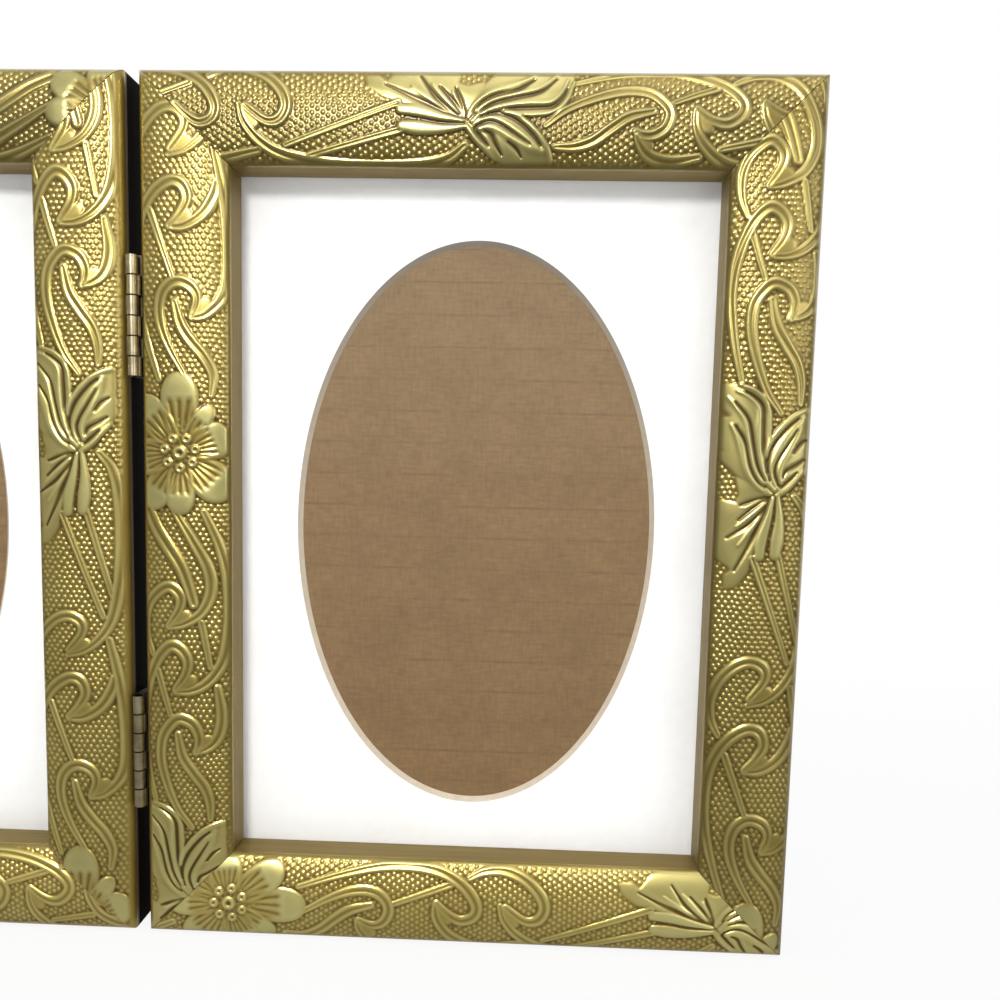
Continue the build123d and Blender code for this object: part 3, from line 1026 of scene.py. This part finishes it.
# %% [markdown]
# ## Metal fittings
# The hinges are plated steel with a pale champagne tone, duller where fingers and years have worked. The
# plates beside the barrel, in the gap, are darkened almost to black as painted shade, and old oil darkens
# the joints between the knuckles. The turn buttons, their screws and the V nails are zinc-grey steel.

# %% Plated and grey metal
KNUCKLES = 6
BARREL_REACH = 1.3 * MM


def barrel_shares(tree, place, axis_y, first_joint, pitch):
    """One share that is 1 near the hinge's axis, and one that is 0 in the joints at every pitch."""
    x, y, z = add(tree, "SeparateXYZ", place).outputs
    flat = add(tree, "CombineXYZ", x, y).outputs[0]
    aside = add(tree, "VectorMath", flat, (0.0, axis_y, 0.0), operation="DISTANCE").outputs["Value"]
    on_barrel = ranged(tree, aside, 1.0, 0.0, BARREL_REACH, BARREL_REACH * 1.15)
    off_joint = off_pitch(tree, z, first_joint, pitch)
    return on_barrel, ranged(tree, off_joint, from_low=0.00010, from_high=0.00026)


def worn_metal(name, dull, bright, roughness, scale, barrel=None):
    """Metal between two tones by cloudy noise, fine scratches; painted shade off the barrel, if it has one.
    """
    material, tree = finish_of(name)
    place = own_place(tree)
    colour = ramp(tree, noise(tree, place, scale, 5.0, 0.6), (0.35, dull), (0.65, bright))
    if barrel:
        on_barrel, open_face = barrel_shares(tree, place, *barrel)
        # Painted shade: the plates off the barrel, in the gap, are darkened almost to black
        painted_shade_plates = mixed(tree, 0.86, colour, (0.030, 0.023, 0.014))
        oily = mixed(tree, open_face, (0.022, 0.017, 0.010), colour)
        colour = mixed(tree, on_barrel, painted_shade_plates, oily)
    scratches = noise(tree, place, 1.0, 3.0, stretch=(900.0, 900.0, 120.0))
    shade(
        tree,
        Base_Color=colour,
        Roughness=ranged(tree, scratches, roughness - 0.1, roughness + 0.14),
        Normal=bump(tree, scratches, 0.1, 0.00004),
        Metallic=1.0,
    )
    return material


# %% Hinges, screws and nails in metal
champagne = ((0.41, 0.34, 0.20), (0.66, 0.58, 0.39), 0.32, 260.0)
screw_metal = worn_metal("screw_champagne", *champagne)
grey_metal = worn_metal("zinc_grey", (0.42, 0.42, 0.41), (0.68, 0.68, 0.67), 0.38, 320.0)
for leaf in LEAVES:
    dress(leaf + "_corner_v_nails", grey_metal)
    dress(leaf + "_hinge_screws", screw_metal)
for place in ("upper", "lower"):
    plate_low, plate_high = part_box(f"right_{place}_hinge_plate")
    pin_low, pin_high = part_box(f"{place}_hinge_pin")
    axis_y = (pin_low.y + pin_high.y) / 2
    barrel = (axis_y, plate_low.z, (plate_high.z - plate_low.z) / KNUCKLES)
    hinge_metal = worn_metal(f"{place}_hinge_champagne", *champagne, barrel)
    dress(f"{place}_hinge_pin", hinge_metal)
    for leaf in LEAVES:
        dress(f"{leaf}_{place}_hinge_plate", hinge_metal)
    print(place, "hinge from", plate_low.z, "to", plate_high.z)

# %% [markdown]
# ### Turn buttons and their screws
# Four small steel plates hold the backs in. Each is stamped in the shape of a drop, so its edges are
# rounded over, and turns on a pan-head screw with a slot. A plate is a stack of outlines: the outline of
# a big and a small round with their tangents, drawn in a little more at each row. A screw is a profile
# turned about its axis, and its slot is pressed into the head.

# %% Turn buttons
BUTTON_ROUND, BUTTON_TIP, BUTTON_REACH, BUTTON_HOLE = 4.5, 2.6, 10.5, 1.48
UNDERSIDE = 0.06


def drop_reach(angle, big, small):
    """Distance from the big round's middle to the outline of two rounds and their tangents, at each angle."""
    lean = math.acos((big - small) / BUTTON_REACH)
    touch = math.atan2(small * math.sin(lean), BUTTON_REACH + small * math.cos(lean))
    turn = np.abs(angle)
    side = big / np.cos(turn - lean)
    tip = BUTTON_REACH * np.cos(turn) + np.sqrt(np.maximum(small**2 - (BUTTON_REACH * np.sin(turn)) ** 2, 0))
    return np.where(turn > lean, big, np.where(turn > touch, side, tip))


def drop_plate(name, node, way):
    """Rows of outlines round the screw hole, drawn in towards the top; angles lie denser at the tip."""
    low, high = box_mm(node)
    pivot = low[0] + BUTTON_ROUND if way > 0 else high[0] - BUTTON_ROUND
    s = np.linspace(-1, 1, 160, endpoint=False)
    angle = np.pi * np.sign(s) * np.abs(s) ** 1.7
    hole = np.full(len(s), BUTTON_HOLE)
    edges = ((0, UNDERSIDE), (0, 0.55), (0.10, 0.76), (0.28, 0.88), (0.6, 0.95), (1.2, 1.0))
    outlines = [(drop_reach(angle, BUTTON_ROUND - inset, BUTTON_TIP - inset), up) for inset, up in edges]
    rows = []
    for reach, up in outlines + [(hole, 1.0), (hole, UNDERSIDE)]:
        x, z = pivot + way * reach * np.cos(angle), (low[2] + high[2]) / 2 + reach * np.sin(angle)
        rows.append(np.column_stack([x, np.full(len(s), low[1] + up * (high[1] - low[1])), z]))
    piece = closed_ring(name, rows)
    crisp_edges(piece.data, len(s), [0, 6, 7])
    piece.data.materials.append(grey_metal)
    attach(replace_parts(piece, node), node)
    return pivot


# %% Screws with slots
SHANK, HEAD, CROWN, HEAD_HEIGHT, SCREW_LENGTH, TINY = 1.4, 2.8, 2.1, 1.5, 10, 0.02
RIM, SLOT_DEPTH = 0.55, 0.75


def slotted_screws(name, node, pivots, turns):
    """Profile of a pan-head screw by angle round its axis; a slot as wide as a blade sinks into the head."""
    low, high = box_mm(node)
    seat, middle_z = high[1] - HEAD_HEIGHT, (low[2] + high[2]) / 2
    bend = np.linspace(0, np.pi / 2, 7)
    top = np.linspace(CROWN, TINY, 26)[1:]
    shoulder = CROWN + (HEAD - CROWN) * np.cos(bend)
    radius = np.concatenate([[TINY, SHANK, SHANK, HEAD], shoulder, top])
    dome = RIM + (HEAD_HEIGHT - RIM) * np.sin(bend)
    up = np.concatenate([[-SCREW_LENGTH, -SCREW_LENGTH, 0, 0], dome, np.full(len(top), HEAD_HEIGHT)])
    angle = np.linspace(0, 2 * np.pi, 96, endpoint=False)
    points, faces = [], []
    for pivot, turn in zip(pivots, turns):
        aside = np.abs(radius[:, None] * np.sin(angle - turn))
        slot = SLOT_DEPTH * (1 - eased(0.28, 0.40, aside)) * eased(0.2, 0.9, up)[:, None]
        r = np.repeat(radius[:, None], len(angle), axis=1)
        y = seat + up[:, None] - slot
        block = np.stack([pivot + r * np.cos(angle), y, middle_z + r * np.sin(angle)], axis=-1).reshape(-1, 3)
        quads, way = outward(block, ring_quads(len(radius), len(angle), wrap_columns=True)[: -len(angle)])
        first = np.arange(len(angle))
        ends = [first[::-way], (first + len(block) - len(angle))[::way]]
        faces += [(np.asarray(face) + len(points) * len(block)).tolist() for face in [*quads, *ends]]
        points.append(block)
    piece = new_piece(name, np.concatenate(points) * MM, faces)
    piece.data.set_sharp_from_angle(angle=math.radians(38))
    piece.data.materials.append(grey_metal)
    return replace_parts(piece, node)


# %% Turn buttons and screws in place
for leaf, hinge_way in (("right", 1), ("left", -1)):
    pivots = []
    for place, way in (("hinge_side", hinge_way), ("outer", -hinge_way)):
        node = f"{leaf}_{place}_turn_button"
        pivots.append(drop_plate(node + "_plate", node, way))
    screws = slotted_screws(leaf + "_slotted_screws", leaf + "_turn_button_screws", pivots, (0.5, 1.9))
    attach(screws, leaf + "_leaf")
    print(leaf, "turn buttons at", [round(pivot, 1) for pivot in pivots], "mm")

# %% [markdown]
# ## Floor, backdrop and light
# The frame stands on a pale sweep that rises behind it and shows as white, while the floor near the
# frame keeps its soft shadow. The main lamp is small and stands in front, above and a little to the
# left, so the upper lips throw a narrow, crisp shadow on the mats, as in the photograph. Two softer lamps
# fill in, and the world adds even light that grows towards the top; seen directly, it is white.


# %% Pale sweep
def sweep(depth_front, depth_back, bend, height, half_width):
    """Profile by width: floor, a quarter circle and a wall, carried straight across."""
    arc = np.linspace(0, np.pi / 2, 24)
    y = np.concatenate([[-depth_front], depth_back - bend + bend * np.sin(arc), [depth_back]])
    z = np.concatenate([[0], bend - bend * np.cos(arc), [height]])
    x = np.linspace(-half_width, half_width, 9)
    grid_x, grid_y = np.meshgrid(x, y)
    grid_z = np.repeat(z[:, None], len(x), axis=1)
    points = np.stack([grid_x, grid_y, grid_z], axis=-1).reshape(-1, 3)
    quads = ring_quads(len(y), len(x))[: 1 - len(x)]
    return new_piece("studio_sweep", points, quads.tolist())


# %% Paint of the sweep
def seen_directly(tree):
    """The rays' kinds, and a share that is 1 for what the camera sees, also through glass."""
    ray = add(tree, "LightPath").outputs
    return ray, maths(tree, "MAXIMUM", ray["Is Camera Ray"], ray["Is Transmission Ray"])


def sweep_paint():
    """Pale matt paint: white to the eye and through glass; reflections see it dim in front, white behind."""
    material, tree = finish_of("sweep_paint")
    shade(tree, Base_Color=(0.86, 0.86, 0.86), Roughness=0.9)
    depth = add(tree, "SeparateXYZ", own_place(tree)).outputs["Y"]
    ray, seen = seen_directly(tree)
    share = maths(tree, "MULTIPLY", seen, ranged(tree, depth, 0.86, 1.0, 0.02, 0.35))
    matt = tree.nodes["Principled BSDF"].outputs[0]
    painted = add(tree, "MixShader", share, matt, add(tree, "Emission", Strength=1.0).outputs[0]).outputs[0]
    mirrored = add(tree, "Emission", Strength=ranged(tree, depth, 0.19, 1.0, -0.1, 0.4)).outputs[0]
    blend = add(tree, "MixShader", ray["Is Glossy Ray"], painted, mirrored).outputs[0]
    feed(tree.nodes["Material Output"].inputs["Surface"], blend)
    return material


studio_sweep = sweep(depth_front=7.0, depth_back=4.0, bend=1.5, height=7.0, half_width=8.0)
studio_sweep.data.materials.append(sweep_paint())
print("sweep of", len(studio_sweep.data.polygons), "faces")


# %% Lamps and world
def soft_lamp(name, place, target, size, power):
    """A square area lamp at a place, turned to look at a target."""
    data = bpy.data.lights.new(name, "AREA")
    data.shape = "SQUARE"
    data.size = size
    data.energy = power
    lamp = bpy.data.objects.new(name, data)
    lamp.location = place
    aim = np.subtract(target, place)
    lamp.rotation_euler = (math.acos(-aim[2] / np.linalg.norm(aim)), 0, math.atan2(aim[0], -aim[1]) + math.pi)
    scene.collection.objects.link(lamp)


middle = (0.0, 0.0, leaf_height / 2)
soft_lamp("front_lamp", (-0.10, -1.2, 0.63), middle, size=0.22, power=9.5)
soft_lamp("top_lamp", (0.2, -0.6, 1.1), middle, size=0.6, power=2.2)
soft_lamp("right_lamp", (1.0, -0.9, 0.35), middle, size=0.6, power=2.25)
studio = bpy.data.worlds.new("studio")
scene.world = studio
studio.use_nodes = True
sky = studio.node_tree
upward = add(sky, "SeparateXYZ", add(sky, "TexCoord").outputs["Generated"]).outputs["Z"]
tilt = ranged(sky, upward, from_low=-0.30, from_high=0.50)
sky_tone = ramp(sky, tilt, (0.0, 0.135), (0.40, 0.305), (0.62, 0.40), (1.0, 0.68))
ray, seen = seen_directly(sky)
feed(sky.nodes["Background"].inputs["Color"], mixed(sky, seen, sky_tone, WHITE))
print("lamps and world ready")
